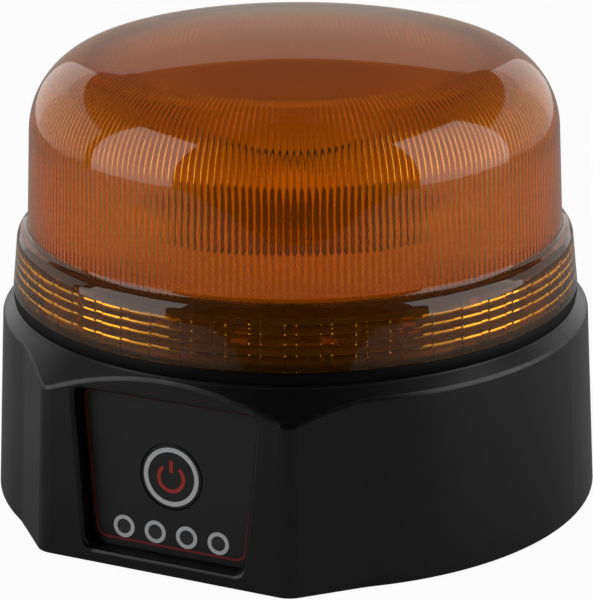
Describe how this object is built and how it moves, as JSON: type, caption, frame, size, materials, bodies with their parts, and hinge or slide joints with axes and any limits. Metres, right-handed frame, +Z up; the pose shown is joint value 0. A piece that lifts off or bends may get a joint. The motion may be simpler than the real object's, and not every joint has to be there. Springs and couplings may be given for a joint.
{
  "type": "rotating beacon",
  "caption": "Battery-powered amber LED warning beacon: clear ribbed dome on a round black base with a flat control panel and a magnetic foot.",
  "frame": {"origin": "centre of the underside of the rubber base pad, on the axis of the round body", "axes": "+Z up through the lens, -Y out of the control panel, +Y out of the charge port"},
  "size_m": [0.1499, 0.148, 0.1144],
  "materials": {
    "housing_plastic": "fine satin moulding",
    "seal_rubber": "smooth",
    "pad_rubber": "matte",
    "flap_rubber": "matte",
    "overlay_film": "fine grained film",
    "key_film": "fine grained film",
    "window_film": "smoked, satin",
    "amber_lens": "glossy clear amber plastic",
    "zinc_steel": "zinc plated",
    "magnet_steel": "nickel plated",
    "ferrite": "dark sintered",
    "pin_steel": "drawn",
    "sink_aluminium": "milled",
    "led_board_white": "white solder mask",
    "lamp_yellow": "phosphor resin",
    "silvered_plastic": "metallised, satin",
    "board_green": "green solder mask",
    "component_black": "moulded",
    "plunger_plastic": "moulded",
    "socket_steel": "plated",
    "cradle_plastic": "moulded",
    "cell_wrap": "shrink wrap"
  },
  "bodies": {
    "base": {"base_housing": "housing_plastic", "base_pad": "pad_rubber", "battery_cell_1": "cell_wrap", "battery_cell_2": "cell_wrap", "battery_cell_3": "cell_wrap", "battery_cell_4": "cell_wrap", "battery_cradle": "cradle_plastic", "battery_strap": "component_black", "bottom_cover": "housing_plastic", "bottom_gasket": "seal_rubber", "centre_board": "led_board_white", "centre_leds": "lamp_yellow", "charge_board": "board_green", "charge_screws": "zinc_steel", "charge_socket": "socket_steel", "cover_screw_1": "zinc_steel", "cover_screw_2": "zinc_steel", "cover_screw_3": "zinc_steel", "cover_screw_4": "zinc_steel", "cradle_screws": "zinc_steel", "driver_board": "board_green", "driver_parts": "component_black", "driver_screws": "zinc_steel", "heat_sink": "sink_aluminium", "indicator_leds": "lamp_yellow", "indicator_pipe_1": "window_film", "indicator_pipe_2": "window_film", "indicator_pipe_3": "window_film", "indicator_pipe_4": "window_film", "led_board": "led_board_white", "led_ring": "lamp_yellow", "lens": "amber_lens", "lens_screw_1": "zinc_steel", "lens_screw_2": "zinc_steel", "lens_screw_3": "zinc_steel", "lens_screw_4": "zinc_steel", "lens_seal": "seal_rubber", "magnet_core_1": "ferrite", "magnet_core_2": "ferrite", "magnet_core_3": "ferrite", "magnet_cup_1": "magnet_steel", "magnet_cup_2": "magnet_steel", "magnet_cup_3": "magnet_steel", "magnet_screw_1": "zinc_steel", "magnet_screw_2": "zinc_steel", "magnet_screw_3": "zinc_steel", "panel_board": "board_green", "panel_overlay": "overlay_film", "panel_screw_1": "zinc_steel", "panel_screw_2": "zinc_steel", "port_pin": "pin_steel", "reflector": "silvered_plastic", "reflector_screw_1": "zinc_steel", "reflector_screw_2": "zinc_steel", "reflector_screw_3": "zinc_steel", "switch_body": "component_black"},
    "key": {"power_key": "key_film", "switch_plunger": "plunger_plastic"},
    "flap": {"port_flap": "flap_rubber"}
  },
  "joints": [
    {"name": "key_press", "type": "slide", "parent": "base", "child": "key", "axis": [0, 0.9985, -0.0541], "range_m": [0, 0.0004], "stiffness_N_per_m": 3000},
    {"name": "flap_hinge", "type": "hinge", "parent": "base", "child": "flap", "pos_m": [0, 0.0723, 0.0286], "axis": [1, 0, 0], "range_deg": [0, 100]}
  ]
}
